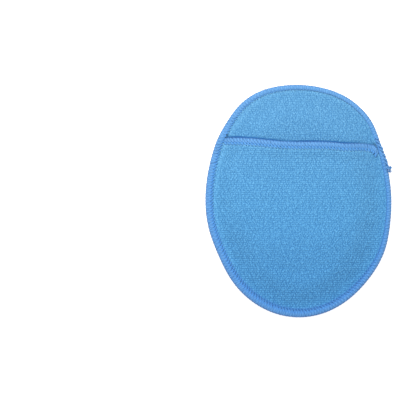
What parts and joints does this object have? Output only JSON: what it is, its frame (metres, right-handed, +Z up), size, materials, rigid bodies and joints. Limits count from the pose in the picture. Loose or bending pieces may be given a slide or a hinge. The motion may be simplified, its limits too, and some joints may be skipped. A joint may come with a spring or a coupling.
{
  "type": "microfibre cleaning pad",
  "caption": "Flat oval padded microfibre cleaning pad with an overlocked edge and a finger pocket sewn across its back.",
  "frame": {"origin": "under the middle of the pad, on the plane its wiping face rests on", "axes": "+Z up from the wiping face through the pocket side, +Y along the pad towards the end with the pocket's mouth, +X across the pad, to the right when the pocket side is seen with its mouth at the top"},
  "size_m": [0.128, 0.16, 0.0159],
  "materials": {
    "microfibre_cloth": "matte",
    "overlock_thread": "matte",
    "soft_foam": "matte"
  },
  "bodies": {
    "pad": {"wipe_cloth": "microfibre_cloth", "foam_core": "soft_foam", "back_cloth": "microfibre_cloth", "pocket_cloth_margin": "microfibre_cloth", "edge_needle_thread": "overlock_thread", "edge_upper_looper_thread": "overlock_thread", "edge_lower_looper_thread": "overlock_thread", "edge_thread_tail": "overlock_thread"},
    "pocket": {"pocket_cloth": "microfibre_cloth", "mouth_needle_thread": "overlock_thread", "mouth_upper_looper_thread": "overlock_thread", "mouth_lower_looper_thread": "overlock_thread"}
  },
  "joints": [
    {"name": "pocket_lift", "type": "hinge", "parent": "pad", "child": "pocket", "pos_m": [0, -0.0714, 0.00541], "axis": [1, 0, 0], "range_deg": [0, 11.5], "stiffness_Nm_per_rad": 0.05}
  ]
}
